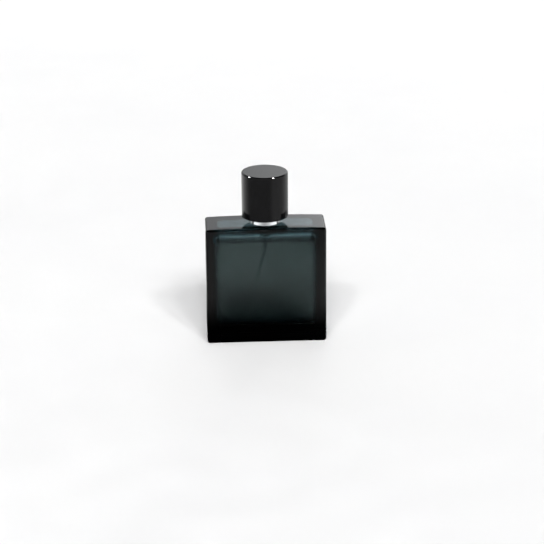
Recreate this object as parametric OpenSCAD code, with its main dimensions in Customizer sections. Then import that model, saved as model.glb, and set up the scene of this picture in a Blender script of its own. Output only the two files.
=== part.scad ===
// Aftershave bottle: a square, shallow glass flask with a crimped spray pump,
// a polished metal collar and a round pull-off cap.
// Millimetres. +Z is up, the front face looks along -Y, and the origin is the
// bottom centre of the glass, on the surface that the bottle stands on.

/* [Glass] */
// Width across the front
body_w = 79; // [72:1:90]
// Depth from front to back
body_d = 29.5; // [28:0.5:36]
// Height of the glass to the middle of its shoulder
body_h = 80; // [76:1:90]
// Thickness of the two side walls
side_wall = 4.3; // [4:0.1:7]
// Thickness of the front and back walls
face_wall = 2.6; // [2.4:0.1:4]
// Thickness of the heavy base
base_wall = 8.8; // [6:0.1:11]
// Drop of the shoulder from its middle to its ends
shoulder_crown = 0.65; // [0.3:0.05:1.2]
// Radius of the upright corners
corner_r = 1.8; // [1.8:0.1:3]

/* [Contents] */
// Depth of the liquid's surface below the shoulder
fill_drop = 10.5; // [8.5:0.5:13.5]

/* [Pump] */
// Radius of the pump's chamber
chamber_r = 2.9; // [2.8:0.05:3]

/* [Collar and cap] */
// Outer radius of the collar's foot
collar_foot_r = 10.4; // [10.2:0.1:11.6]
// Outer radius of the cap
cap_r = 15.25; // [14.5:0.05:17]
// Height of the cap
cap_h = 30.3; // [26:0.1:34]
// Gap between the shoulder and the cap
cap_gap = 4.2; // [4.1:0.05:5]

/* [Hidden] */
$fn = 96;

// Glass
top_edge_r = 1.7;      // rounding where the faces meet the shoulder
foot_edge_r = 2.0;     // rounding round the foot
well_corner_r = 6.4;   // upright corners of the hollow
well_foot_r = 6.4;     // round the hollow's floor
well_top_r = 4.8;      // under the shoulder
shoulder_wall = 3;     // glass above the hollow
punt_depth = 0.5;      // shallow recess under the foot
neck_h = 8;            // shoulder to lip
neck_r = 6.5;
bead_r = 7.5;          // the crimp bead at the lip
bore_r = 5;
neck_root_r = 0.8;     // fillet where the neck grows out of the shoulder
lip = body_h + neck_h;
crown_half = body_w / 2 - top_edge_r;
crown_r = (pow(crown_half, 2) + pow(shoulder_crown, 2)) / (2 * shoulder_crown);
crown_arc = asin((body_w / 2 + 1) / crown_r);
crown_fn = 2400;       // facets of a whole circle as wide as the crown's

// Liquid
film = 0.05;           // gap left between the liquid and what holds it
fill_z = body_h - fill_drop;

// Pump, with heights counted from the lip
gasket_t = 0.6;
flange_r = 7.3;
flange_t = 1;
chamber_floor = lip - 15;
well_r = 1.5;          // ball well
well_foot = lip - 16;
seat_z = lip - 17.1;
inlet_r = 0.6;
cage_z = lip - 14;     // underside of the tabs that keep the ball in
nipple_r = 2;
nipple_foot = lip - 21.5;
ball_r = 1.2;
seat_angle = atan((well_r - inlet_r) / (well_foot - seat_z));
ball_z = seat_z - inlet_r / tan(seat_angle) + (ball_r + film) / sin(seat_angle);
stem_r = 2;
waist_r = 1.6;         // stem inside the piston
guide_r = 2.05;        // running fit for the stem
stem_bore_r = 0.9;
stem_top = lip + 10.9;
turret_r = 3.3;
turret_foot = lip - 2;
turret_t = 0.7;
ferrule_top = lip + gasket_t + flange_t + turret_t;
plate_top = lip - 6.3; // top face of the plunger's plate
plate_t = 0.8;

// Dip tube
tube_lean = asin(0.28); // slope of 7 in 24
tube_r = 1.2;
tube_bore_r = 0.8;
bend_r = 25;
bend_z = lip - 22;
bend_steps = 6;
tube_sides = 16;
tube_end_z = base_wall + 2.4;
tube_run = (bend_z - bend_r * sin(tube_lean) - tube_end_z) / cos(tube_lean);

// Spring
wire_r = 0.2;
coil_r = 2.4;
coils = 6.5;
dead_pitch = 0.46;
spring_h = plate_top - plate_t - chamber_floor;
rise = spring_h - 2 * wire_r;
live_pitch = (rise - 2 * dead_pitch) / (coils - 2);
coil_steps = 16;       // per turn
wire_sides = 6;

// Actuator
button_foot = lip + 7.7;
button_h = 8.9;
button_r = 7.2;
spray_z = lip + 13.5;
skin = 0.4;
insert_r = 1.55;

// Collar
collar_foot = body_h + 0.15;
flare_top = collar_foot + 2;
foot_top = body_h + 4.1;
seat_r = 9.9;          // flange that the cap stands over
sleeve_r = 9.4;
sleeve_wall = 0.5;
collar_top = lip + 8.4;

// Cap
cap_foot = body_h + cap_gap;
cap_top = cap_foot + cap_h;
cap_wall = 1.2;
cap_roof = 1.6;
grip_r = 9.46;         // running fit over the collar's sleeve
grip_h = 9;
liner_r = 10.5;
ribs = 8;

// ---- shared shapes -------------------------------------------------------

// A w by h rectangle standing on the X axis, with its own radius top and foot
module plate(w, h, foot, top) {
    translate([-w / 2, foot]) square([w, h - foot - top]);
    translate([foot - w / 2, 0]) square([w - 2 * foot, h / 2]);
    translate([top - w / 2, h / 2]) square([w - 2 * top, h / 2]);
    for (s = [-1, 1]) {
        translate([s * (w / 2 - foot), foot]) circle(r = foot);
        translate([s * (w / 2 - top), h - top]) circle(r = top);
    }
}

// A slab on the XY plane, every edge rounded
module slab(w, d, h, upright, foot, top) {
    intersection() {
        translate([0, -d / 2, 0]) linear_extrude(h) plate(w, d, upright, upright);
        translate([0, d / 2, 0]) rotate([90, 0, 0]) linear_extrude(d) plate(w, h, foot, top);
        translate([-w / 2, 0, 0]) rotate([90, 0, 90]) linear_extrude(w) plate(d, h, foot, top);
    }
}

module ring(inner, outer, z0, z1) {
    rotate_extrude() translate([inner, z0]) square([outer - inner, z1 - z0]);
}

module rod(r, z0, z1) {
    translate([0, 0, z0]) cylinder(r = r, h = z1 - z0);
}

// The space inside the glass, drawn in by gap all round
module hollow(gap) {
    translate([0, 0, base_wall + gap])
        slab(body_w - 2 * side_wall - 2 * gap, body_d - 2 * face_wall - 2 * gap,
             body_h - base_wall - shoulder_wall - 2 * gap,
             well_corner_r - gap, well_foot_r - gap, well_top_r - gap);
}

// Stations of the dip tube's route, each [x, z, lean]: straight out of the
// nipple, round the bend, then straight down, past its end by the length past
function stations(z_top, past) = concat(
    [[0, z_top, 0]],
    [for (i = [0:bend_steps]) let (a = tube_lean * i / bend_steps)
        [bend_r * (cos(a) - 1), bend_z - bend_r * sin(a), a]],
    [[bend_r * (cos(tube_lean) - 1) - (tube_run + past) * sin(tube_lean),
      bend_z - bend_r * sin(tube_lean) - (tube_run + past) * cos(tube_lean), tube_lean]]
);

function tube_point(s, r, t) =
    [s[0] + r * cos(t) * cos(s[2]), r * sin(t), s[1] - r * cos(t) * sin(s[2])];

// Side and end faces of a tube of rings with the given number of sides
function tube_faces(rings, sides) = concat(
    [[for (k = [sides - 1:-1:0]) k]],
    [for (i = [0:rings - 2], k = [0:sides - 1])
        [i * sides + k, i * sides + (k + 1) % sides,
         (i + 1) * sides + (k + 1) % sides, (i + 1) * sides + k]],
    [[for (k = [0:sides - 1]) (rings - 1) * sides + k]]
);

// A solid of radius r along the dip tube's route
module route(r, z_top, past = 0) {
    way = stations(z_top, past);
    polyhedron(
        points = [for (s = way, k = [0:tube_sides - 1]) tube_point(s, r, 360 * k / tube_sides)],
        faces = tube_faces(len(way), tube_sides)
    );
}

// ---- bottle --------------------------------------------------------------

// Square flask with thick walls, a heavy base, a slightly crowned shoulder and
// a short neck that ends in a crimp bead
module glass_bottle() {
    color([0.10, 0.14, 0.15, 0.6]) difference() {
        union() {
            intersection() {
                translate([0, -body_d / 2, 0]) linear_extrude(body_h)
                    plate(body_w, body_d, corner_r, corner_r);
                translate([0, body_d / 2, 0]) rotate([90, 0, 0]) linear_extrude(body_d)
                    front_outline();
                crowned_bar();
            }
            rotate_extrude() neck_profile();
        }
        hollow(0);
        rod(bore_r, body_h - shoulder_wall - 2, lip + 1);
        translate([0, 0, -1]) linear_extrude(1 + punt_depth)
            translate([0, 7 - body_d / 2])
                plate(body_w - 18, body_d - 14, corner_r, corner_r);
    }
}

// The front's outline: flat foot, crowned shoulder
module front_outline() {
    plate(body_w, body_h - shoulder_crown, foot_edge_r, top_edge_r);
    intersection() {
        translate([-crown_half, body_h / 2]) square([2 * crown_half, body_h / 2]);
        translate([0, body_h - crown_r]) circle(r = crown_r, $fn = crown_fn);
    }
}

// A bar along X whose top edges are rounded and follow the crown
module crowned_bar() {
    translate([-body_w / 2, 0, 0]) rotate([90, 0, 90]) linear_extrude(body_w)
        plate(body_d, body_h - 5, foot_edge_r, 1);
    translate([0, 0, body_h - crown_r]) rotate([0, -90 - crown_arc, 0]) rotate([-90, 0, 0])
        rotate_extrude(angle = 2 * crown_arc, $fn = crown_fn)
            translate([crown_r - 10, 0]) rotate(-90) plate(body_d, 10, 0.5, top_edge_r);
}

module neck_profile() {
    difference() {
        union() {
            translate([0, body_h - 2]) square([neck_r, neck_h + 1.7]);
            translate([0, body_h - 1]) square([neck_r + neck_root_r, 1 + neck_root_r]);
            polygon([[0, lip - 3.8], [neck_r, lip - 3.8], [bead_r, lip - 3.2],
                     [bead_r, lip - 0.4], [bead_r - 0.4, lip], [0, lip]]);
        }
        translate([neck_r + neck_root_r, body_h + neck_root_r]) circle(r = neck_root_r);
    }
}

// The liquid, up to a level surface below the shoulder
module fragrance() {
    color([0.16, 0.24, 0.26, 0.7]) difference() {
        intersection() {
            hollow(film);
            translate([-body_w / 2, -body_d / 2, 0]) cube([body_w, body_d, fill_z]);
        }
        route(tube_r + 2 * film, fill_z + 1, past = film);
        rod(nipple_r + film, nipple_foot - film, lip);
        translate([0, 0, lip - 18.5]) cylinder(r1 = nipple_r + film, r2 = 4, h = 2);
    }
}

// ---- crimped closure -----------------------------------------------------

// Flat sealing washer between the glass lip and the pump's flange
module neck_gasket() {
    color([0.12, 0.12, 0.12]) ring(bore_r, flange_r, lip, lip + gasket_t);
}

// Thin metal cup that holds the pump down and is crimped in under the bead
module crimp_ferrule() {
    color([0.80, 0.81, 0.83]) rotate_extrude() polygon([
        [stem_r + 0.6, ferrule_top], [stem_r + 0.6, ferrule_top + skin],
        [8.1, ferrule_top + skin], [8.1, lip - 3.6], [7.3, lip - 4.3],
        [6.75, lip - 4.3], [6.75, lip - 3.9], [7.1, lip - 3.85],
        [7.7, lip - 3.3], [7.7, ferrule_top]
    ]);
}

// Polished metal sleeve that hides the ferrule: a foot that flares out above the
// shoulder, a flange under the cap and a slimmer sleeve that the cap slides over
module collar() {
    color([0.86, 0.87, 0.88]) rotate_extrude() difference() {
        union() {
            polygon([[0, collar_foot], [collar_foot_r - 0.25, collar_foot],
                     [collar_foot_r, collar_foot + 0.25], [seat_r, flare_top],
                     [seat_r, foot_top - 0.25], [seat_r - 0.25, foot_top], [0, foot_top]]);
            translate([0, foot_top - 1]) square([sleeve_r, collar_top - foot_top + 0.6]);
            translate([0, foot_top]) square([sleeve_r - 0.4, collar_top - foot_top]);
            translate([sleeve_r - 0.4, collar_top - 0.4]) circle(r = 0.4);
        }
        translate([0, collar_foot - 1])
            square([sleeve_r - sleeve_wall, collar_top - collar_foot + 0.5]);
        translate([0, collar_top - 1]) square([button_r + 0.55, 2]);
    }
}

// Plastic ring pressed between the ferrule and the collar; its lower lip
// hooks in under the crimp
module collar_insert() {
    outer = sleeve_r - sleeve_wall - film;
    color([0.16, 0.16, 0.17]) rotate_extrude() polygon([
        [7, collar_foot + 0.3], [outer, collar_foot + 0.3], [outer, ferrule_top + 1.2],
        [8.2, ferrule_top + 1.2], [8.2, lip - 3.75], [7.35, lip - 4.5], [7, lip - 4.5]
    ]);
}

// ---- pump ----------------------------------------------------------------

// Moulded pump barrel: flange on the gasket, chamber in the neck, ball well
// and a nipple for the dip tube
module pump_housing() {
    color([0.90, 0.90, 0.88]) difference() {
        union() {
            rotate_extrude() difference() {
                polygon([
                    [0, nipple_foot], [nipple_r, nipple_foot], [nipple_r, lip - 18.2],
                    [3.9, lip - 16.6], [3.9, lip - 4.6], [4.6, lip - 4],
                    [4.6, lip + gasket_t], [flange_r, lip + gasket_t],
                    [flange_r, lip + gasket_t + flange_t], [0, lip + gasket_t + flange_t]
                ]);
                translate([0, chamber_floor]) square([chamber_r, lip + 3 - chamber_floor]);
                translate([0, turret_foot - 0.8]) square([turret_r + film, 6]);
            }
            rod(nipple_r, chamber_floor - 1, cage_z + 0.5);
        }
        rod(tube_r + 0.02, nipple_foot - 1, seat_z - 0.6);
        rod(inlet_r, seat_z - 1, well_foot);
        translate([0, 0, seat_z])
            cylinder(r1 = inlet_r, r2 = well_r, h = well_foot - seat_z);
        rod(well_r, well_foot, cage_z);
        rod(1, cage_z - 0.5, cage_z + 1);
        for (a = [0, 120, 240])
            rotate([0, 0, a]) translate([0, -0.35, cage_z - 0.2]) cube([well_r, 0.7, 1]);
    }
}

// Soft tube that leans to the left and ends just above the floor
module dip_tube() {
    color([0.88, 0.90, 0.90, 0.6]) difference() {
        route(tube_r, seat_z - 0.7);
        route(tube_bore_r, lip, past = 1);
    }
}

// Ball that seals the inlet when the pump is pressed
module check_ball() {
    color([0.75, 0.76, 0.78]) translate([0, 0, ball_z]) sphere(r = ball_r);
}

// Height of the wire's centre after u turns: dead coils at both ends
function coil_z(u) =
    u < 1 ? u * dead_pitch
    : u > coils - 1 ? rise - (coils - u) * dead_pitch
    : dead_pitch + (u - 1) * live_pitch;

function coil_point(i, k) =
    let (u = i / coil_steps, t = 360 * k / wire_sides, r = coil_r + wire_r * cos(t))
    [r * cos(360 * u), r * sin(360 * u), wire_r + coil_z(u) + wire_r * sin(t)];

// Compression spring between the chamber's floor and the plunger's plate
module return_spring() {
    steps = coils * coil_steps;
    color([0.72, 0.73, 0.75]) translate([0, 0, chamber_floor]) polyhedron(
        points = [for (i = [0:steps], k = [0:wire_sides - 1]) coil_point(i, k)],
        faces = tube_faces(steps + 1, wire_sides)
    );
}

// Lower half of the stem: a plate that the spring pushes up, a spigot that
// centres the spring and a pin pressed into the stem
module plunger() {
    color([0.85, 0.85, 0.83]) {
        rod(chamber_r - 0.3, plate_top - plate_t, plate_top);
        rod(coil_r - wire_r - 0.35, plate_top - plate_t - 1.4, plate_top);
        rod(stem_bore_r - 0.02, plate_top, plate_top + 0.8);
    }
}

// Two-lipped sliding seal that rides on the stem's waist with a little play
module piston() {
    z0 = plate_top + 0.1;
    seal_r = chamber_r - film;
    color([0.93, 0.93, 0.90]) rotate_extrude() polygon([
        [waist_r + 0.25, z0], [seal_r - 0.25, z0], [seal_r, z0 + 0.25],
        [seal_r, z0 + 0.6], [seal_r - 0.35, z0 + 0.8], [seal_r - 0.35, z0 + 1.4],
        [seal_r, z0 + 1.6], [seal_r, z0 + 1.95], [seal_r - 0.25, z0 + 2.2],
        [waist_r + film, z0 + 2.2], [waist_r + film, z0 + 1.2], [waist_r + 0.25, z0 + 1]
    ]);
}

// Hollow stem: slim waist for the piston, stop collar, then the long shank
// that carries the button
module stem() {
    color([0.92, 0.92, 0.90]) difference() {
        union() {
            rod(waist_r, plate_top, lip - 3.4);
            rod(2.6, lip - 3.4, lip - 2.9);
            rod(stem_r, lip - 3.4, stem_top);
        }
        rod(stem_bore_r, plate_top - 1, stem_top + 1);
        translate([0, 0, plate_top + 1.2]) rotate([0, 90, 0])
            cylinder(r = 0.3, h = 2 * stem_r + 2, center = true);
    }
}

// Rubber ring that the stem slides through
module stem_gasket() {
    color([0.10, 0.10, 0.10]) ring(guide_r, turret_r, turret_foot - 0.8, turret_foot);
}

// Guide bush snapped into the top of the housing
module turret() {
    color([0.88, 0.88, 0.86]) difference() {
        union() {
            rod(turret_r, turret_foot, ferrule_top);
            rod(flange_r - 0.1, ferrule_top - turret_t, ferrule_top);
        }
        rod(guide_r, turret_foot - 1, ferrule_top + 1);
    }
}

// ---- button --------------------------------------------------------------

// Moulded core of the spray button: socket for the stem, passage to the front
// and a seat for the nozzle
module actuator_body() {
    foot = button_foot + 0.3;
    core_r = button_r - skin - film;
    color([0.14, 0.14, 0.15]) difference() {
        rod(core_r, foot, button_foot + button_h - 0.95);
        ring(stem_r + 1.3, core_r - 0.9, foot - 1, lip + 10.4);
        rod(stem_r + 0.03, foot - 1, stem_top + 0.1);
        rod(stem_bore_r, stem_top, spray_z);
        translate([0, 0, spray_z]) rotate([90, 0, 0]) {
            cylinder(r = 0.7, h = core_r + 1);
            translate([0, 0, 4.4]) cylinder(r = insert_r + film, h = core_r);
        }
    }
}

// Thin metal cup over the core, dished on top, with a round window in front
module actuator_shell() {
    top = button_foot + button_h;
    color([0.86, 0.87, 0.88]) difference() {
        rotate_extrude() difference() {
            union() {
                translate([0, button_foot]) square([button_r, button_h - 0.7]);
                translate([0, button_foot]) square([button_r - 0.7, button_h]);
                translate([button_r - 0.7, top - 0.7]) circle(r = 0.7);
            }
            translate([0, button_foot - 1]) square([button_r - skin, button_h + 0.1]);
        }
        translate([0, 0, top + 49.65]) sphere(r = 50);
        translate([0, 0, spray_z]) rotate([90, 0, 0]) cylinder(r = 2, h = button_r + 1);
    }
}

// Nozzle: a small plug with a countersunk outlet that looks forward
module nozzle_insert() {
    color([0.20, 0.20, 0.21]) translate([0, 0, spray_z]) rotate([90, 0, 0])
        difference() {
            translate([0, 0, 4.5]) cylinder(r = insert_r, h = 2.4);
            translate([0, 0, 4]) cylinder(r = 1, h = 1.7);
            translate([0, 0, 4]) cylinder(r = 0.2, h = 4);
            translate([0, 0, 6.4]) cylinder(r1 = 0.2, r2 = 0.9, h = 0.6);
        }
}

// ---- cap -----------------------------------------------------------------

// Plain round cap with a thin wall, softened edges and an open foot
module cap_shell() {
    color([0.05, 0.05, 0.05]) rotate_extrude() difference() {
        union() {
            translate([0, cap_foot + 0.25]) square([cap_r, cap_h - 1.05]);
            translate([0, cap_foot]) square([cap_r - 0.25, 1]);
            translate([0, cap_top - 2]) square([cap_r - 0.8, 2]);
            translate([cap_r - 0.25, cap_foot + 0.25]) circle(r = 0.25);
            translate([cap_r - 0.8, cap_top - 0.8]) circle(r = 0.8);
        }
        translate([0, cap_foot - 1]) square([cap_r - cap_wall, cap_h + 1 - cap_roof]);
    }
}

// Moulded lining: a tube that grips the collar's sleeve, closed at the top,
// with a foot ring, a head ring and ribs that centre it in the shell
module cap_liner() {
    outer = cap_r - cap_wall - film;
    roof = cap_top - cap_roof;
    color([0.11, 0.11, 0.12]) difference() {
        union() {
            rod(liner_r, cap_foot, roof);
            rod(outer, cap_foot, cap_foot + 1);
            rod(outer, roof - 1, roof);
            for (i = [0:ribs - 1])
                rotate([0, 0, 360 * (i + 0.5) / ribs])
                    translate([liner_r - 0.3, -0.4, cap_foot])
                        cube([outer - liner_r, 0.8, roof - cap_foot]);
        }
        rod(grip_r, cap_foot - 1, roof - 0.9);
        rod(grip_r + 0.3, cap_foot + grip_h, roof - 0.9);
        translate([0, 0, cap_foot - 0.1])
            cylinder(r1 = grip_r + 0.5, r2 = grip_r, h = 0.9);
    }
}

glass_bottle();
fragrance();
neck_gasket();
crimp_ferrule();
collar();
collar_insert();
pump_housing();
dip_tube();
check_ball();
return_spring();
plunger();
piston();
stem();
stem_gasket();
turret();
actuator_body();
actuator_shell();
nozzle_insert();
cap_shell();
cap_liner();
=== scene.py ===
"""Looks of the aftershave bottle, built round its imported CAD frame.
Lengths below are in millimetres and are scaled to metres as meshes are made."""
import math

import bpy
from mathutils import Matrix, Vector, noise


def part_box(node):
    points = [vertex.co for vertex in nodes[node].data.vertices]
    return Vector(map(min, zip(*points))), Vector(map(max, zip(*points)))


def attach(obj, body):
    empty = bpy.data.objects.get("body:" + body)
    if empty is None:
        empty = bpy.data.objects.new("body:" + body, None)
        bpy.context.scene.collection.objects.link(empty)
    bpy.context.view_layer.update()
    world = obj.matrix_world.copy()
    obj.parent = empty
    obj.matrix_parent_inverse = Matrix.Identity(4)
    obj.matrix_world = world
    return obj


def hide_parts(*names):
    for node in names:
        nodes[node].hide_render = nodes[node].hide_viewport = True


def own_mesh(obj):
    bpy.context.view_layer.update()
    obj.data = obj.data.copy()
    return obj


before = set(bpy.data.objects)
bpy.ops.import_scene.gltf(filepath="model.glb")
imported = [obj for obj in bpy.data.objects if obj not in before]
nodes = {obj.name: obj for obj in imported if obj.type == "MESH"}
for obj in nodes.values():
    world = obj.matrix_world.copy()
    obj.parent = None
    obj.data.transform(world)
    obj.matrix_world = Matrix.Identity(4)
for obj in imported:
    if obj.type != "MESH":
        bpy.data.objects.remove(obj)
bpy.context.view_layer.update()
MM = 0.001


def box(node):
    """A CAD node's box at rest, in millimetres."""
    low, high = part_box(node)
    return [c / MM for c in low], [c / MM for c in high]


# ---------------------------------------------------------------- measures
GLASS_LOW, GLASS_HIGH = box("glass_bottle")
LIQUID_LOW, LIQUID_HIGH = box("fragrance")
CAP_LOW, CAP_HIGH = box("cap_shell")
COLLAR_LOW, COLLAR_HIGH = box("collar")
SPRING_LOW, SPRING_HIGH = box("return_spring")
STEM_LOW, STEM_HIGH = box("stem")
TUBE_LOW, TUBE_HIGH = box("dip_tube")

WIDTH = GLASS_HIGH[0] - GLASS_LOW[0]
DEPTH = GLASS_HIGH[1] - GLASS_LOW[1]
LIP = GLASS_HIGH[2]
SHOULDER = LIP - 8.0
CROWN = 0.65         # rise of the shoulder's middle over its ends
CORNER = 1.8         # upright corners
TOP_EDGE = 1.7       # rounding round the shoulder
FOOT_INSET = 1.7     # rounding round the foot, across
FOOT_RISE = 2.0      # and upward
PUNT = 0.5           # recess under the foot
NECK_R = 6.5
BEAD_R = 7.5         # crimp bead at the lip
FILLET = 0.8         # where the neck grows out of the shoulder
ROOT_R = NECK_R + FILLET
BORE = 5.0
BORE_EDGE = 1.0      # rounding where the bore meets the hollow
FILM = 0.05          # the frame's gap between the liquid and the glass
CONTACT_GAP = 0.02   # the gap left here
HOLLOW_W = LIQUID_HIGH[0] - LIQUID_LOW[0] + 2 * FILM
HOLLOW_D = LIQUID_HIGH[1] - LIQUID_LOW[1] + 2 * FILM
HOLLOW_FLOOR = LIQUID_LOW[2] - FILM
HOLLOW_ROOF = SHOULDER - 3.0
HOLLOW_R = 6.4       # corners and floor of the hollow
ROOF_R = 4.8         # under the shoulder
HOLLOW_EDGE = 0.3    # least corner radius of a ring on the floor or roof
FILL = LIQUID_HIGH[2]
CLIMB = 0.2          # height of the meniscus
CONTACT = FILL + CLIMB
CROWN_HALF = WIDTH / 2 - TOP_EDGE
CROWN_R = (CROWN_HALF ** 2 + CROWN ** 2) / (2 * CROWN)


# ---------------------------------------------------------------- mesh tools
def mesh_object(name, points, faces, body, sharp=50.0):
    """A smooth-shaded piece that rides on a body; edges over sharp degrees stay crisp."""
    mesh = bpy.data.meshes.new(name)
    mesh.from_pydata([(x * MM, y * MM, z * MM) for x, y, z in points], [], faces)
    mesh.validate()
    for face in mesh.polygons:
        face.use_smooth = True
    mesh.set_sharp_from_angle(angle=math.radians(sharp))
    obj = bpy.data.objects.new(name, mesh)
    bpy.context.collection.objects.link(obj)
    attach(obj, body)
    return obj


def join_rings(rings, closed_loop=False, cap_start=False, cap_end=False):
    """Points and faces of a skin through rings that all have the same number of points."""
    points = [p for ring in rings for p in ring]
    n = len(rings[0])
    faces = []
    last = len(rings) if closed_loop else len(rings) - 1
    for i in range(last):
        a, b = i * n, ((i + 1) % len(rings)) * n
        for k in range(n):
            j = (k + 1) % n
            faces.append((a + k, a + j, b + j, b + k))
    if cap_start:
        faces.append(tuple(range(n - 1, -1, -1)))
    if cap_end:
        faces.append(tuple(range((len(rings) - 1) * n, len(rings) * n)))
    return points, faces


def arc(cx, cy, r, start, end, steps=8):
    """Points of an arc in the radius, height plane; angles in degrees from outward."""
    out = []
    for i in range(steps + 1):
        t = math.radians(start + (end - start) * i / steps)
        out.append((cx + r * math.cos(t), cy + r * math.sin(t)))
    return out


def hold(profile, gap=0.06):
    """The closed profile with a point added near both ends of each longer side,
    so that flat faces stay flat beside their rounded edges."""
    out = []
    n = len(profile)
    for i, (x0, y0) in enumerate(profile):
        x1, y1 = profile[(i + 1) % n]
        out.append((x0, y0))
        length = math.hypot(x1 - x0, y1 - y0)
        if length > 6 * gap:
            for t in (gap / length, 1 - gap / length):
                out.append((x0 + (x1 - x0) * t, y0 + (y1 - y0) * t))
    return out


def lathe(name, profile, body, steps, gap=0.06):
    """A solid of revolution about the bottle's upright axis. profile is a closed loop of
    (radius, height), counter-clockwise; points with radius 0 meet on the axis."""
    profile = hold(profile, gap)
    points, index = [], []
    for r, z in profile:
        if r < 1e-6:
            index.append([len(points)] * steps)
            points.append((0.0, 0.0, z))
            continue
        row = []
        for k in range(steps):
            t = 2 * math.pi * k / steps
            row.append(len(points))
            points.append((r * math.cos(t), r * math.sin(t), z))
        index.append(row)
    faces = []
    n = len(profile)
    for i in range(n):
        a, b = index[i], index[(i + 1) % n]
        for k in range(steps):
            j = (k + 1) % steps
            corner = []
            for v in (a[k], a[j], b[j], b[k]):
                if v not in corner:
                    corner.append(v)
            if len(corner) > 2:
                faces.append(tuple(corner))
    return mesh_object(name, points, faces, body)


# ---------------------------------------------------------------- glass
UNEVEN = 0.35        # how far the hollow's walls may wander
CORNER_STEPS = 12    # points round a corner of an outline, and along its sides
LONG_STEPS = 44
SHORT_STEPS = 16


def crown_z(x):
    """Height of the shoulder above the foot at x."""
    x = min(abs(x), CROWN_HALF)
    return SHOULDER - CROWN_R + math.sqrt(CROWN_R ** 2 - x * x)


def outline(w, d, r):
    """A w by d rectangle with rounded corners as a ring of points, the same count
    for any size, counter-clockwise from the right-hand end of the front side."""
    r = max(r, 0.02)
    hw, hd = w / 2 - r, d / 2 - r
    ring = []
    for (cx, cy, start), steps in zip(
        ((hw, -hd, -90), (hw, hd, 0), (-hw, hd, 90), (-hw, -hd, 180)),
        (SHORT_STEPS, LONG_STEPS, SHORT_STEPS, LONG_STEPS),
    ):
        for i in range(CORNER_STEPS + 1):
            t = math.radians(start + 90 * i / CORNER_STEPS)
            ring.append((cx + r * math.cos(t), cy + r * math.sin(t)))
        x0, y0 = ring[-1]
        x1, y1 = {-90: (hw + r, hd), 0: (-hw, hd + r), 90: (-hw - r, -hd), 180: (hw, -hd - r)}[start]
        for i in range(1, steps):
            # crowded near the ends, so that a flat side stays flat by its corners
            s = 0.5 - 0.5 * math.cos(math.pi * (i / steps))
            ring.append((x0 + (x1 - x0) * s, y0 + (y1 - y0) * s))
    return ring


def flat_ring(w, d, r, z):
    return [(x, y, z) for x, y in outline(w, d, r)]


def toward_circle(ring, radius, share):
    """ring moved by share of the way to a circle of that radius."""
    out = []
    for x, y, z in ring:
        t = math.atan2(y / (DEPTH / 2), x / (WIDTH / 2))
        length = math.hypot(x, y)
        ux, uy = x / length, y / length
        # blend of the true direction and the evened one keeps the quads square
        vx, vy = math.cos(t), math.sin(t)
        ux, uy = ux * 0.5 + vx * 0.5, uy * 0.5 + vy * 0.5
        length = math.hypot(ux, uy)
        out.append((x + (radius * ux / length - x) * share,
                    y + (radius * uy / length - y) * share, z))
    return out


def resized(base, r, z):
    """base, the ring at the neck's root, brought to radius r and height z."""
    return [(x * r / ROOT_R, y * r / ROOT_R, z) for x, y, _ in base]


def sway(x, y, z):
    """Slow unevenness of a moulded glass wall."""
    p = Vector((x * 0.045, y * 0.06, z * 0.05))
    return UNEVEN * noise.noise(p + Vector((3.1, 7.7, 1.3)))


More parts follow.
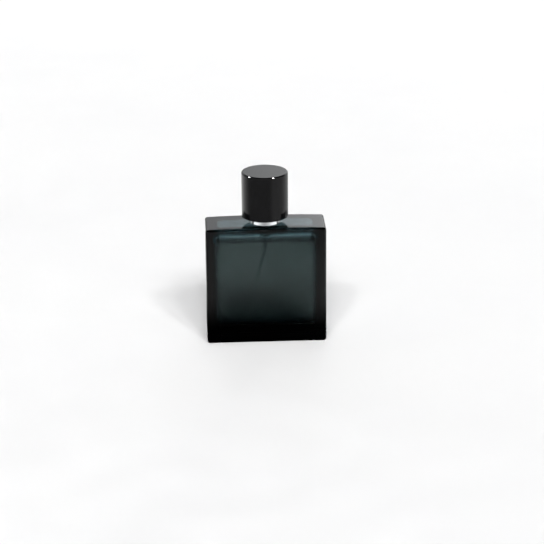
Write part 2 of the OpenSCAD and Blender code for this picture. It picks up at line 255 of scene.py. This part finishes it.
def glass_outer():
    """Rings of the outside, from the middle of the foot up over the lip into the bore,
    and the ring at the neck's root, whose outline the rest of the neck follows."""
    rings = []
    punt_w, punt_d = WIDTH - 18, DEPTH - 14
    for share in (0.02, 0.3, 0.6, 0.85, 1.0):
        rings.append([(x * share, y * share, PUNT) for x, y in outline(punt_w - 1.6, punt_d - 1.6, 1.4)])
    # the recess slopes down to the foot: growth of the outline, corner radius, height
    for grow, corner, z in ((-0.9, 1.7, 0.44), (-0.3, 1.9, 0.22), (0.2, 2.1, 0.04), (0.7, 2.3, 0.0)):
        rings.append(flat_ring(punt_w + grow, punt_d + grow, corner, z))
    rings.append(flat_ring(WIDTH - 2 * FOOT_INSET - 0.6, DEPTH - 2 * FOOT_INSET - 0.6, 0.4, 0.0))
    steps = 10
    for i in range(steps + 1):
        t = math.radians(90 * i / steps)
        inset = FOOT_INSET * (1 - math.sin(t))
        rings.append(flat_ring(WIDTH - 2 * inset, DEPTH - 2 * inset, CORNER - inset,
                               FOOT_RISE * (1 - math.cos(t))))
    # the faces, with rings close to both rounded ends so that they stay flat
    for z in (2.3, 6, 14, 24, 34, 44, 54, 64, 72, 77.0, 77.5):
        rings.append(flat_ring(WIDTH, DEPTH, CORNER, z))
    for i in range(steps + 1):
        t = math.radians(90 * i / steps)
        inset = TOP_EDGE * (1 - math.cos(t))
        rings.append([(x, y, crown_z(x) - TOP_EDGE * (1 - math.sin(t)))
                      for x, y in outline(WIDTH - 2 * inset, DEPTH - 2 * inset, CORNER - inset)])
    shelf = outline(WIDTH - 2 * TOP_EDGE - 0.4, DEPTH - 2 * TOP_EDGE - 0.4, 0.3)
    shelf = [(x, y, 0) for x, y in shelf]
    for share in (0.0, 0.12, 0.25, 0.38, 0.5, 0.62, 0.74, 0.85, 0.94, 1.0):
        rings.append([(x, y, crown_z(x)) for x, y, _ in toward_circle(shelf, ROOT_R, share)])
    base = rings[-1]
    for i in range(1, 6):
        t = math.radians(90 * i / 5)
        rings.append(resized(base, ROOT_R - FILLET * math.sin(t),
                             SHOULDER - 0.01 + FILLET * (1 - math.cos(t))))
    # up the neck, out round the bead, over the lip and into the bore: radius, depth below the lip
    for r, drop in ((NECK_R, 3.85), (NECK_R + 0.05, 3.75), (BEAD_R - 0.05, 3.25), (BEAD_R, 3.1),
                    (BEAD_R, 0.45), (BEAD_R - 0.1, 0.12), (BEAD_R - 0.4, 0.0),
                    (BORE + 0.35, 0.0), (BORE + 0.1, 0.1), (BORE, 0.35)):
        rings.append(resized(base, r, LIP - drop))
    return rings, base


def hollow_rings(gap=0.0, full=True):
    """Rings of the hollow drawn in by gap, from the middle of its floor up its walls
    to the line that the liquid reaches, and on under the shoulder if full."""
    w, d = HOLLOW_W - 2 * gap, HOLLOW_D - 2 * gap
    floor, roof, r = HOLLOW_FLOOR + gap, HOLLOW_ROOF - gap, HOLLOW_R - gap
    rings = []
    middle = outline(w - 2 * r, d - 2 * r, HOLLOW_EDGE)
    for share in (0.02, 0.25, 0.5, 0.75, 0.93, 1.0):
        rings.append([(x * share, y * share, floor) for x, y in middle])
    steps = 16
    for i in range(1, steps + 1):
        t = math.radians(90 * i / steps)
        inset = r * (1 - math.sin(t))
        rings.append(flat_ring(w - 2 * inset, d - 2 * inset, max(r - inset, HOLLOW_EDGE),
                               floor + r * (1 - math.cos(t))))
    low, count = floor + r, 18
    for i in range(1, count + 1):
        rings.append(flat_ring(w, d, r, low + (CONTACT - low) * i / count))
    if full:
        top = ROOF_R - gap
        rings.append(flat_ring(w, d, r, roof - top))
        for i in range(1, steps + 1):
            t = math.radians(90 * i / steps)
            inset = top * (1 - math.cos(t))
            rings.append(flat_ring(w - 2 * inset, d - 2 * inset, max(r - inset, HOLLOW_EDGE),
                                   roof - top + top * math.sin(t)))
    return rings


def uneven(rings):
    """Walls of the hollow moved in and out a little, not at all at the floor and roof."""
    out = []
    for ring in rings:
        new = []
        for x, y, z in ring:
            fade = min(1.0, max(0.0, (z - HOLLOW_FLOOR) / 8))
            fade *= min(1.0, max(0.0, (HOLLOW_ROOF - z) / 6))
            shift = sway(x, y, z) * fade
            new.append((x + shift * (x / (HOLLOW_W / 2)) ** 3,
                        y + shift * (y / (HOLLOW_D / 2)) ** 3, z))
        out.append(new)
    return out


def mark(obj, name, first, last, per_ring):
    """Gives faces a number under an attribute's name: 1 between two rings, else 0. The
    faces at the ends of the skin count as rings past the last one."""
    layer = obj.data.attributes.new(name, "FLOAT", "FACE")
    for face in obj.data.polygons:
        ring = face.index // per_ring
        layer.data[face.index].value = 1.0 if first <= ring < last else 0.0


def make_glass():
    """One skin: up the outside, over the lip, down the bore and round the hollow."""
    outer, base = glass_outer()
    inner = uneven(hollow_rings())
    roof = inner[-1]
    z = roof[0][2]
    bore = []
    for share in (0.15, 0.35, 0.55, 0.75, 0.9, 1.0):
        bore.append([(x, y, z) for x, y, _ in toward_circle(roof, BORE + BORE_EDGE, share)])
    for i in range(1, 6):
        t = math.radians(90 * i / 5)
        bore.append(resized(base, BORE + BORE_EDGE * (1 - math.sin(t)),
                            z + BORE_EDGE * (1 - math.cos(t))))
    rings = outer + bore[::-1] + inner[::-1]
    points, faces = join_rings(rings, cap_start=True, cap_end=True)
    glass = mesh_object("bottle_glass", points, faces, "bottle", sharp=60)
    wet = next(i for i, ring in enumerate(rings)
               if i >= len(outer) + len(bore) and ring[0][2] < CONTACT + 0.01)
    mark(glass, "wetted", wet, len(rings) + 1, len(rings[0]))
    return glass


def make_liquid():
    """The liquid fills the hollow to a hair from the glass; its surface turns up in a
    meniscus at the walls, which falls away over the reach and is gone at the end."""
    reach, end = 0.8, 12
    rings = uneven(hollow_rings(gap=CONTACT_GAP, full=False))
    sides = len(rings) - 1
    for inset in (0.05, 0.2, 0.4, 0.7, 1.1, 1.6, 2.2, 3.0, 4.0, 5.5, 7.5, 9.5):
        ring = outline(HOLLOW_W - 2 * inset, HOLLOW_D - 2 * inset, max(HOLLOW_R - inset, HOLLOW_EDGE))
        z = FILL + CLIMB * math.exp(-inset / reach) * (1 - inset / end)
        rings.append([(x, y, z) for x, y in ring])
    last = rings[-1]
    for share in (0.7, 0.4, 0.15, 0.02):
        rings.append([(x * share, y * share, FILL) for x, y, _ in last])
    points, faces = join_rings(rings, cap_start=True, cap_end=True)
    liquid = mesh_object("liquid", points, faces, "bottle", sharp=60)
    mark(liquid, "open_surface", sides, len(rings) - 1, len(rings[0]))
    middle = len(liquid.data.polygons) - 1
    liquid.data.attributes["open_surface"].data[middle].value = 1.0
    return liquid


# ---------------------------------------------------------------- other pieces
def make_cap():
    """A round shell, open below, with a flat top."""
    r, z0, z1 = CAP_HIGH[0], CAP_LOW[2], CAP_HIGH[2]
    wall, roof, edge, foot, inner, bevel = 1.2, 1.6, 1.0, 0.25, 0.6, 0.15
    profile = [
        (r - wall + bevel, z0),
        *arc(r - foot, z0 + foot, foot, -90, 0, 6),
        *arc(r - edge, z1 - edge, edge, 0, 90, 14),
        (0, z1), (0, z1 - roof),
        *arc(r - wall - inner, z1 - roof - inner, inner, 90, 0, 6),
        (r - wall, z0 + bevel),
    ]
    return lathe("cap_shell_gloss", profile, "cap", steps=256)


def make_collar():
    """A sleeve with a flared foot, a flange that the cap stands over and an inturned
    rim round the button."""
    foot_r, z0, z1 = COLLAR_HIGH[0], COLLAR_LOW[2], COLLAR_HIGH[2]
    flange = CAP_LOW[2] - 0.1
    sleeve, seat, mouth, wall = 9.4, 9.9, 7.75, 0.5
    foot_edge, waist, flange_edge, top_edge, rim_edge, bevel = 0.2, 0.6, 0.25, 0.4, 0.12, 0.1
    inside = sleeve - wall
    flare_h = 2.0
    lean = math.degrees(math.atan2(foot_r - seat, flare_h))
    profile = [
        (inside + bevel, z0),
        *arc(foot_r - foot_edge, z0 + foot_edge, foot_edge, -90, lean, 8),
        *arc(seat + waist, z0 + flare_h + 0.1, waist, 180 + lean, 180, 5),
        *arc(seat - flange_edge, flange - flange_edge, flange_edge, 0, 90, 8),
        (sleeve + 0.08, flange), (sleeve, flange + 0.08),
        *arc(sleeve - top_edge, z1 - top_edge, top_edge, 0, 90, 8),
        *arc(mouth + rim_edge, z1 - rim_edge, rim_edge, 90, 180, 5),
        (mouth, z1 - wall + 0.05), (mouth + 0.05, z1 - wall),
        (inside - bevel, z1 - wall), (inside, z1 - wall - bevel), (inside, z0 + bevel),
    ]
    return lathe("collar_polished", profile, "bottle", steps=256)


def make_stem():
    """A tube with a stop collar above its thinner foot."""
    z0, z1 = STEM_LOW[2], STEM_HIGH[2]
    r, bore, waist, stop_r, bevel = 2.0, 0.9, 1.6, 2.6, 0.1
    stop = LIP - 3.4
    stop_top = stop + 0.5
    profile = [
        (bore, z0), (waist - bevel, z0), (waist, z0 + bevel), (waist, stop),
        (stop_r - bevel, stop), (stop_r, stop + bevel), (stop_r, stop_top - bevel),
        (stop_r - bevel, stop_top), (r, stop_top),
        (r, z1 - 0.2), (r - 0.15, z1), (bore + bevel, z1), (bore, z1 - bevel),
    ]
    return lathe("pump_stem_tube", profile, "pump_stem", steps=72, gap=0.04)


def tube_route(outer):
    """The centre line of the dip tube, a tube of that outer radius: out of the nipple,
    round one bend, then straight."""
    lean = math.asin(0.28)
    top, bend_r, bend_z = TUBE_HIGH[2], 25.0, LIP - 22.0
    bend_steps, run_steps = 12, 24
    way = [(0.0, top), (0.0, top - 0.1), (0.0, top - 2.2), (0.0, bend_z)]
    for i in range(1, bend_steps + 1):
        t = lean * i / bend_steps
        way.append((-bend_r * (1 - math.cos(t)), bend_z - bend_r * math.sin(t)))
    end = TUBE_LOW[2] + outer * math.sin(lean)
    x, z = way[-1]
    run = (z - end) / math.cos(lean)
    for i in range(1, run_steps + 1):
        s = run * i / run_steps
        way.append((x - s * math.sin(lean), z - s * math.cos(lean)))
    return way


def make_tube():
    outer, inner, sides = 1.2, 0.8, 40
    way = tube_route(outer)

    def ring(i, radius):
        x, z = way[i]
        x0, z0 = way[max(i - 1, 0)]
        x1, z1 = way[min(i + 1, len(way) - 1)]
        dx, dz = x1 - x0, z1 - z0
        length = math.hypot(dx, dz)
        nx, nz = -dz / length, dx / length
        return [(x + radius * math.cos(t) * nx, radius * math.sin(t), z + radius * math.cos(t) * nz)
                for t in (2 * math.pi * k / sides for k in range(sides))]

    rings = [ring(i, outer) for i in range(len(way))]
    rings += [ring(i, inner) for i in range(len(way) - 1, -1, -1)]
    points, faces = join_rings(rings, closed_loop=True)
    faces = [tuple(reversed(f)) for f in faces]
    return mesh_object("dip_tube_soft", points, faces, "bottle")


def make_spring():
    """A coil of round wire whose first and last turns lie close, with a low pitch."""
    coils, wire, coil_r, dead = 6.5, 0.2, 2.4, 0.46
    z0 = SPRING_LOW[2]
    rise = SPRING_HIGH[2] - z0 - 2 * wire
    live = (rise - 2 * dead) / (coils - 2)
    per_turn, sides = 48, 12

    def climb(turns):
        if turns < 1:
            return turns * dead
        if turns > coils - 1:
            return rise - (coils - turns) * dead
        return dead + (turns - 1) * live

    rings = []
    for i in range(int(coils * per_turn) + 1):
        z = climb(i / per_turn)
        t = 2 * math.pi * (i / per_turn)
        ring = []
        for k in range(sides):
            s = 2 * math.pi * k / sides
            r = coil_r + wire * math.cos(s)
            ring.append((r * math.cos(t), r * math.sin(t), z0 + wire + z + wire * math.sin(s)))
        rings.append(ring)
    points, faces = join_rings(rings, cap_start=True, cap_end=True)
    faces = [tuple(reversed(f)) for f in faces]
    return mesh_object("return_spring_wire", points, faces, "bottle")


# ---------------------------------------------------------------- materials
RANGE_SOCKETS = ("From Min", "From Max", "To Min", "To Max")
GLASS_IOR = 1.5
LIQUID_IOR = 1.36


class Material:
    """A Principled material with helpers that add procedural detail in object space."""

    def __init__(self, name, colour, roughness=0.4, metallic=0.0):
        self.mat = bpy.data.materials.new(name)
        self.mat.use_nodes = True
        self.tree = self.mat.node_tree
        self.bsdf = self.tree.nodes["Principled BSDF"]
        self.out = self.tree.nodes["Material Output"]
        self.bsdf.inputs["Base Color"].default_value = (*colour, 1)
        self.bsdf.inputs["Roughness"].default_value = roughness
        self.bsdf.inputs["Metallic"].default_value = metallic
        self.coords = self.tree.nodes.new("ShaderNodeTexCoord").outputs["Object"]

    def put(self, socket, value):
        self.bsdf.inputs[socket].default_value = value
        return self

    def stretched(self, scale):
        """Object coordinates stretched by a scale for each axis."""
        node = self.tree.nodes.new("ShaderNodeMapping")
        node.inputs["Scale"].default_value = scale
        self.tree.links.new(self.coords, node.inputs["Vector"])
        return node.outputs["Vector"]

    def noise(self, scale, detail=3.0, rough=0.55, vector=None):
        node = self.tree.nodes.new("ShaderNodeTexNoise")
        node.inputs["Scale"].default_value = scale
        node.inputs["Detail"].default_value = detail
        node.inputs["Roughness"].default_value = rough
        self.tree.links.new(vector or self.coords, node.inputs["Vector"])
        return node.outputs["Fac"]

    def remap(self, value, low, high, to_low, to_high):
        node = self.tree.nodes.new("ShaderNodeMapRange")
        for socket, number in zip(RANGE_SOCKETS, (low, high, to_low, to_high)):
            node.inputs[socket].default_value = number
        self.tree.links.new(value, node.inputs["Value"])
        return node.outputs["Result"]

    def height(self):
        """Height above the foot, in metres."""
        node = self.tree.nodes.new("ShaderNodeSeparateXYZ")
        self.tree.links.new(self.coords, node.inputs[0])
        return node.outputs["Z"]

    def add(self, a, b):
        node = self.tree.nodes.new("ShaderNodeMath")
        node.operation = "ADD"
        self.tree.links.new(a, node.inputs[0])
        self.tree.links.new(b, node.inputs[1])
        return node.outputs[0]

    def tint(self, factor, colour_a, colour_b):
        """Base colour that goes from a to b with factor."""
        node = self.tree.nodes.new("ShaderNodeMix")
        node.data_type = "RGBA"
        node.inputs["A"].default_value = (*colour_a, 1)
        node.inputs["B"].default_value = (*colour_b, 1)
        self.tree.links.new(factor, node.inputs["Factor"])
        self.tree.links.new(node.outputs["Result"], self.bsdf.inputs["Base Color"])
        return self

    def roughen(self, factor, low, high, start=0.35, end=0.65):
        self.tree.links.new(self.remap(factor, start, end, low, high), self.bsdf.inputs["Roughness"])
        return self

    def bump(self, height, distance, strength=1.0):
        """distance is the depth in millimetres of a full step of height."""
        node = self.tree.nodes.new("ShaderNodeBump")
        node.inputs["Strength"].default_value = strength
        node.inputs["Distance"].default_value = distance * MM
        self.tree.links.new(height, node.inputs["Height"])
        self.tree.links.new(node.outputs["Normal"], self.bsdf.inputs["Normal"])
        return self

    def absorb(self, colour, density):
        node = self.tree.nodes.new("ShaderNodeVolumeAbsorption")
        node.inputs["Color"].default_value = (*colour, 1)
        node.inputs["Density"].default_value = density
        self.tree.links.new(node.outputs["Volume"], self.out.inputs["Volume"])
        return self

    def attribute(self, name):
        node = self.tree.nodes.new("ShaderNodeAttribute")
        node.attribute_name = name
        return node.outputs["Fac"]

    def link(self, socket, value):
        self.tree.links.new(value, self.bsdf.inputs[socket])
        return self

    def on(self, *objects):
        for obj in objects:
            obj.data.materials.clear()
            obj.data.materials.append(self.mat)
        return self


def glass_material():
    """Tinted glass; against the liquid its surface bends light much less than against air."""
    m = Material("tinted_glass", (0.94, 0.97, 0.97), 0.02)
    m.put("Transmission Weight", 1.0).put("IOR", GLASS_IOR)
    m.link("IOR", m.remap(m.attribute("wetted"), 0, 1, GLASS_IOR, GLASS_IOR / LIQUID_IOR))
    smudge = m.noise(55, 4, 0.6)
    m.tint(m.remap(smudge, 0.3, 0.7, 0, 1), (0.93, 0.96, 0.96), (0.97, 0.99, 0.99))
    m.roughen(smudge, 0.0, 0.035, 0.42, 0.75)
    m.bump(m.noise(38, 2, 0.4), 0.02, 0.35)
    m.absorb((0.06, 0.25, 0.29), 510)
    return m


def liquid_material():
    """Only the open surface bends light: the sides touch the glass, which does it there."""
    m = Material("aftershave_liquid", (0.97, 0.99, 0.99), 0.0)
    m.put("Transmission Weight", 1.0).put("IOR", LIQUID_IOR)
    m.link("IOR", m.remap(m.attribute("open_surface"), 0, 1, 1.0, LIQUID_IOR))
    m.tint(m.noise(30, 2), (0.97, 0.98, 0.98), (0.99, 1.0, 1.0))
    m.absorb((0.34, 0.25, 0.16), 52)
    return m


def gloss_black():
    m = Material("gloss_black_plastic", (0.002, 0.002, 0.0023), 0.05)
    m.put("IOR", 1.45)
    smudge = m.noise(70, 5, 0.62)
    m.tint(m.remap(smudge, 0.3, 0.7, 0, 1), (0.0014, 0.0014, 0.0016), (0.0035, 0.0035, 0.004))
    m.roughen(smudge, 0.03, 0.10, 0.38, 0.72)
    m.bump(m.add(m.noise(420, 2, 0.5), m.remap(m.noise(90, 2), 0, 1, 0, 2)), 0.0012, 0.5)
    return m


def polished_metal():
    m = Material("polished_metal", (0.83, 0.84, 0.85), 0.1, 1.0)
    rings = m.noise(1.0, 3, 0.6, m.stretched((90, 90, 6500)))
    patch = m.noise(140, 4, 0.6)
    m.tint(m.remap(patch, 0.3, 0.7, 0, 1), (0.80, 0.81, 0.82), (0.88, 0.88, 0.89))
    m.roughen(m.remap(m.add(rings, patch), 0.7, 1.3, 0, 1), 0.07, 0.19, 0.0, 1.0)
    m.bump(rings, 0.0015, 0.5)
    return m


def satin_aluminium():
    m = Material("satin_aluminium", (0.72, 0.73, 0.74), 0.3, 1.0)
    grain = m.noise(1.0, 3, 0.6, m.stretched((700, 700, 3500)))
    m.tint(m.noise(160, 3), (0.66, 0.67, 0.68), (0.78, 0.79, 0.80))
    m.roughen(grain, 0.22, 0.42)
    m.bump(grain, 0.003, 0.6)
    return m


def steel(name):
    m = Material(name, (0.56, 0.57, 0.58), 0.2, 1.0)
    grain = m.noise(900, 4, 0.6)
    m.tint(grain, (0.48, 0.49, 0.50), (0.64, 0.64, 0.65))
    m.roughen(grain, 0.14, 0.34)
    m.bump(grain, 0.002, 0.5)
    return m


def moulded(name, colour, low, high, grain=1500, depth=0.004, soft=0.0):
    """Moulded plastic: slow colour drift, fine grain and shine that varies."""
    m = Material(name, colour, low)
    drift = m.noise(90, 3, 0.5)
    darker = tuple(c * 0.86 for c in colour)
    m.tint(m.remap(drift, 0.3, 0.7, 0, 1), darker, colour)
    m.roughen(m.noise(300, 4, 0.6), low, high)
    m.bump(m.noise(grain, 3, 0.6), depth, 0.6)
    if soft:
        m.put("Subsurface Weight", soft).put("Subsurface Radius", (1.0, 0.9, 0.8))
        m.put("Subsurface Scale", 0.0006)
    return m


def natural_plastic():
    """Unpigmented polypropylene, milky but see-through, standing in the liquid."""
    m = Material("natural_plastic", (0.80, 0.86, 0.86), 0.2)
    m.put("Transmission Weight", 0.98).put("IOR", 1.08)
    cloud = m.noise(260, 4, 0.6)
    m.tint(cloud, (0.72, 0.79, 0.79), (0.88, 0.92, 0.92))
    m.roughen(cloud, 0.08, 0.2)
    m.bump(m.noise(700, 3), 0.003, 0.5)
    return m


def tube_material():
    """Natural polyethylene standing in the liquid, so it bends light only a little;
    it clears toward the bottom, where it is soaked through."""
    m = Material("translucent_tube", (0.86, 0.90, 0.90), 0.25)
    m.put("Transmission Weight", 1.0).put("IOR", 1.03)
    cloud = m.noise(220, 4, 0.6)
    low, high = 30 * MM, 66 * MM
    m.tint(m.add(m.remap(m.height(), low, high, 0, 1), m.remap(cloud, 0.3, 0.7, -0.1, 0.1)),
           (0.99, 0.995, 0.995), (0.71, 0.77, 0.78))
    m.roughen(cloud, 0.02, 0.08)
    m.bump(m.noise(600, 3), 0.002, 0.5)
    return m


def floor_material():
    m = Material("pale_floor", (0.82, 0.82, 0.82), 0.55)
    cloud = m.noise(6, 3, 0.5)
    m.tint(m.remap(cloud, 0.3, 0.7, 0, 1), (0.815, 0.815, 0.82), (0.835, 0.835, 0.835))
    m.roughen(m.noise(30, 3), 0.5, 0.62)
    m.bump(m.noise(900, 3), 0.01, 0.3)
    return m


glass = make_glass()
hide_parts("glass_bottle")
glass_material().on(glass)

liquid = make_liquid()
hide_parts("fragrance")
liquid_material().on(liquid)

cap = make_cap()
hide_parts("cap_shell")
gloss_black().on(cap)

metal = polished_metal()
collar = make_collar()
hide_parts("collar")
metal.on(collar, nodes["actuator_shell"])

white = moulded("white_acetal", (0.80, 0.80, 0.77), 0.3, 0.48, soft=0.12)
stem = make_stem()
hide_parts("stem")
white.on(stem, nodes["plunger"], nodes["turret"])
natural_plastic().on(nodes["pump_housing"])

tube = make_tube()
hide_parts("dip_tube")
tube_material().on(tube)

spring = make_spring()
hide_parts("return_spring")
steel("spring_wire").on(spring)
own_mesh(spring)

satin_aluminium().on(nodes["crimp_ferrule"])
steel("polished_ball").on(nodes["check_ball"])
moulded("seal_rubber", (0.035, 0.035, 0.036), 0.5, 0.75, grain=900, depth=0.01).on(
    nodes["neck_gasket"], nodes["stem_gasket"])
moulded("waxy_seal", (0.84, 0.84, 0.80), 0.32, 0.5, soft=0.25).on(nodes["piston"])
moulded("dark_plastic", (0.028, 0.028, 0.031), 0.34, 0.52).on(
    nodes["collar_insert"], nodes["actuator_body"], nodes["nozzle_insert"], nodes["cap_liner"])


# ---------------------------------------------------------------- studio
def sheet(name, points, faces):
    """A piece of the studio, in metres."""
    mesh = bpy.data.meshes.new(name)
    mesh.from_pydata(points, [], faces)
    for face in mesh.polygons:
        face.use_smooth = True
    obj = bpy.data.objects.new(name, mesh)
    bpy.context.collection.objects.link(obj)
    return obj


def make_floor():
    """One pale sheet that runs back and curves up behind; metres."""
    front, back, bend, top, half, steps = -2.2, 1.4, 0.8, 2.4, 3.0, 12
    section = [(front, 0.0), (-0.6, 0.0), (0.0, 0.0), (0.6, 0.0), (back, 0.0)]
    for i in range(1, steps + 1):
        t = math.radians(90 * i / steps)
        section.append((back + bend * math.sin(t), bend * (1 - math.cos(t))))
    section.append((back + bend, top))
    points = [(x, y, z) for y, z in section for x in (-half, half)]
    faces = [(2 * i, 2 * i + 1, 2 * i + 3, 2 * i + 2) for i in range(len(section) - 1)]
    floor = sheet("studio_floor", points, faces)
    floor.visible_glossy = False
    return floor


class Shading:
    """Small helpers for the node trees of the studio."""

    def __init__(self, tree):
        self.tree = tree

    def set_input(self, node, socket, value):
        if isinstance(value, (int, float)):
            node.inputs[socket].default_value = value
        else:
            self.tree.links.new(value, node.inputs[socket])

    def math(self, operation, a, b=0.0):
        node = self.tree.nodes.new("ShaderNodeMath")
        node.operation = operation
        self.set_input(node, 0, a)
        self.set_input(node, 1, b)
        return node.outputs[0]

    def ramp(self, value, low, high, to_low, to_high):
        node = self.tree.nodes.new("ShaderNodeMapRange")
        node.interpolation_type = "SMOOTHSTEP"
        self.tree.links.new(value, node.inputs["Value"])
        for socket, number in zip(RANGE_SOCKETS, (low, high, to_low, to_high)):
            self.set_input(node, socket, number)
        return node.outputs["Result"]

    def split(self, vector):
        node = self.tree.nodes.new("ShaderNodeSeparateXYZ")
        self.tree.links.new(vector, node.inputs[0])
        return node.outputs["X"], node.outputs["Y"], node.outputs["Z"]

    def length(self, a, b):
        """Length of the vector a, b."""
        return self.math("SQRT", self.math("ADD", self.math("MULTIPLY", a, a), self.math("MULTIPLY", b, b)))

    def outside(self, value, half):
        """How far value lies beyond half on either side of 0."""
        return self.math("MAXIMUM", self.math("SUBTRACT", self.math("ABSOLUTE", value), half), 0.0)


def make_painted_reflection():
    """A glowing sheet level with the floor that only reflections show, a painted reflection
    of the floor: painted shade close round the bottle and in front of it, paler to the right
    and palest behind on the left. Distances are in metres."""
    half, z = 4.0, -0.4 * MM
    corners = [(-half, -half, z), (half, -half, z), (half, half, z), (-half, half, z)]
    card = sheet("painted_reflection_card", corners, [(0, 1, 2, 3)])
    for kind in ("camera", "diffuse", "transmission", "volume_scatter", "shadow"):
        setattr(card, "visible_" + kind, False)
    mat = bpy.data.materials.new("painted_reflection_card")
    mat.use_nodes = True
    tree = mat.node_tree
    tree.nodes.clear()
    kit = Shading(tree)
    x, y, _ = kit.split(tree.nodes.new("ShaderNodeTexCoord").outputs["Object"])

    # how bright the painted reflection is on each side, by its direction from the bottle
    radius = kit.length(x, y)
    across, back = kit.math("DIVIDE", x, radius), kit.math("DIVIDE", y, radius)
    right = kit.ramp(across, 0.3, 0.7, 0.0, 0.25)
    left = kit.math("MULTIPLY", kit.ramp(back, -0.3, 0.85, 0.0, 0.9), kit.ramp(across, 0.2, -0.2, 0.2, 1.0))
    glow = kit.math("ADD", 0.26, kit.math("ADD", right, left))

    # painted clouds in the reflection, that fade out with the distance from the glass
    gap = kit.length(kit.outside(x, WIDTH / 2 * MM), kit.outside(y, DEPTH / 2 * MM))
    cloud = tree.nodes.new("ShaderNodeTexNoise")
    cloud.inputs["Scale"].default_value = 16
    cloud.inputs["Detail"].default_value = 1.5
    mottle = kit.ramp(cloud.outputs["Fac"], 0.38, 0.60, -0.6, 0.45)
    mottle = kit.math("MULTIPLY", mottle, kit.ramp(gap, 0.16, 0.26, 1.0, 0.0))
    glow = kit.math("MULTIPLY", glow, kit.math("ADD", 1.0, mottle))

    # painted shade close round the glass, reaching farthest out before and behind its middle
    reach = kit.math("ADD", gap, kit.ramp(kit.math("ABSOLUTE", x), 0.018, 0.036, 0.0, 0.022))
    glow = kit.math("MULTIPLY", glow, kit.ramp(reach, 0.045, 0.115, 0.02, 0.96))

    # the sheet glows though it is no lamp: its light is a painted reflection
    emission = tree.nodes.new("ShaderNodeEmission")
    kit.set_input(emission, "Strength", glow)
    out = tree.nodes.new("ShaderNodeOutputMaterial")
    tree.links.new(emission.outputs[0], out.inputs["Surface"])
    card.data.materials.append(mat)


def make_world():
    """Pale surroundings low down behind and on the right, dark above and in front, with
    a pale line along the horizon in front. x, y and z are the parts of a direction of
    length 1: to the right, to the back and up."""
    world = bpy.data.worlds.new("studio")
    world.use_nodes = True
    tree = world.node_tree
    kit = Shading(tree)
    x, y, z = kit.split(tree.nodes.new("ShaderNodeTexCoord").outputs["Generated"])
    back = kit.math("ADD", kit.ramp(y, 0.3, 0.62, 0.1, 1.1), kit.ramp(y, -0.6, -0.9, 0.0, 0.05))
    right = kit.ramp(x, 0.0, 0.14, 0.70, 1.42)
    height = kit.math("MULTIPLY", kit.ramp(z, 0.12, 0.3, 0.4, 1.0), kit.ramp(z, 0.38, 0.66, 1.0, 0.02))
    background = tree.nodes["Background"]
    above = kit.math("MULTIPLY", kit.math("MULTIPLY", back, right), height)
    rim = kit.math("MULTIPLY", kit.ramp(z, 0.15, 0.24, 1.0, 0.0), kit.ramp(y, 0.06, -0.02, 0.0, 1.25))
    kit.set_input(background, "Strength", kit.math("MAXIMUM", above, rim))
    background.inputs["Color"].default_value = (0.97, 0.985, 1.0, 1)
    bpy.context.scene.world = world
    world.cycles_visibility.diffuse = False


def aimed(turn, rise):
    """Unit vector from the bottle toward the front, turned to the right and raised."""
    return Vector((math.sin(turn) * math.cos(rise), -math.cos(turn) * math.cos(rise), math.sin(rise)))


def key_lights(spread, height, centre, count, angle, irradiance):
    """A wide strip of far-off light across the front, as a row of suns: it lights the
    floor evenly, and the bottle's shadow narrows to an arch behind it."""
    for i in range(count):
        turn = math.radians(centre + spread * (2 * i / (count - 1) - 1))
        rise = math.radians(height)
        toward = aimed(turn, rise)
        light = bpy.data.lights.new(f"key_light_{i + 1}", "SUN")
        light.angle = angle
        light.energy = irradiance / count
        obj = bpy.data.objects.new(f"key_light_{i + 1}", light)
        obj.rotation_euler = (-toward).to_track_quat("-Z", "Y").to_euler()
        obj.visible_glossy = obj.visible_transmission = False
        bpy.context.collection.objects.link(obj)


def area_light(name, direction, distance, width, height, radiance, unseen=()):
    """A soft box that looks at the bottle from a direction; radiance is what its face
    shows. unseen lists the kinds of ray that don't see it."""
    aim = Vector((0, 0, 60 * MM))
    light = bpy.data.lights.new(name, "AREA")
    light.shape = "RECTANGLE"
    light.size, light.size_y = width, height
    light.energy = math.pi * radiance * width * height
    obj = bpy.data.objects.new(name, light)
    obj.location = aim + Vector(direction).normalized() * distance
    obj.rotation_euler = (aim - obj.location).to_track_quat("-Z", "Y").to_euler()
    for kind in unseen:
        setattr(obj, "visible_" + kind, False)
    bpy.context.collection.objects.link(obj)


floor_material().on(make_floor())
# a glowing sheet that paints the floor's reflection, with painted shade round the glass
make_painted_reflection()
make_world()
key_lights(spread=23, height=43, centre=3, count=5, angle=0.12, irradiance=4.25)
area_light("overhead_softbox", (0.0, 0.05, 1.0), 4.0, 2.6, 2.6, 0.7, unseen=("glossy", "transmission"))
for side, direction in (("left", (-0.677, 0.145, 0.721)), ("right", (0.429, -0.225, 0.874))):
    area_light("sparkle_" + side, direction, 1.4, 0.18, 0.18, 600, unseen=("diffuse", "transmission"))


def make_camera(turn, pitch, roll, target, distance, lens):
    """A camera that looks at a target from a turn to the right of the front and a pitch
    above level; angles in degrees, lengths in millimetres."""
    turn, pitch, roll = math.radians(turn), math.radians(pitch), math.radians(roll)
    back = aimed(turn, pitch)
    level = Vector((math.cos(turn), math.sin(turn), 0))
    rise = back.cross(level)
    right = math.cos(roll) * level + math.sin(roll) * rise
    up = -math.sin(roll) * level + math.cos(roll) * rise
    data = bpy.data.cameras.new("camera")
    data.sensor_width = 36
    data.lens = lens
    data.clip_end = 30
    obj = bpy.data.objects.new("camera", data)
    obj.location = Vector(target) * MM + back * (distance * MM)
    obj.rotation_euler = Matrix((right, up, back)).transposed().to_euler()
    bpy.context.collection.objects.link(obj)
    bpy.context.scene.camera = obj


make_camera(turn=-2.61, pitch=20.43, roll=-0.539, target=(4.3, 0, 44.2), distance=1371, lens=136.6)
scene = bpy.context.scene
scene.view_settings.view_transform = "Standard"
scene.cycles.use_denoising = True
scene.cycles.max_bounces = 24
scene.cycles.transmission_bounces = 24
scene.cycles.glossy_bounces = 12
scene.cycles.caustics_reflective = False
scene.cycles.caustics_refractive = False
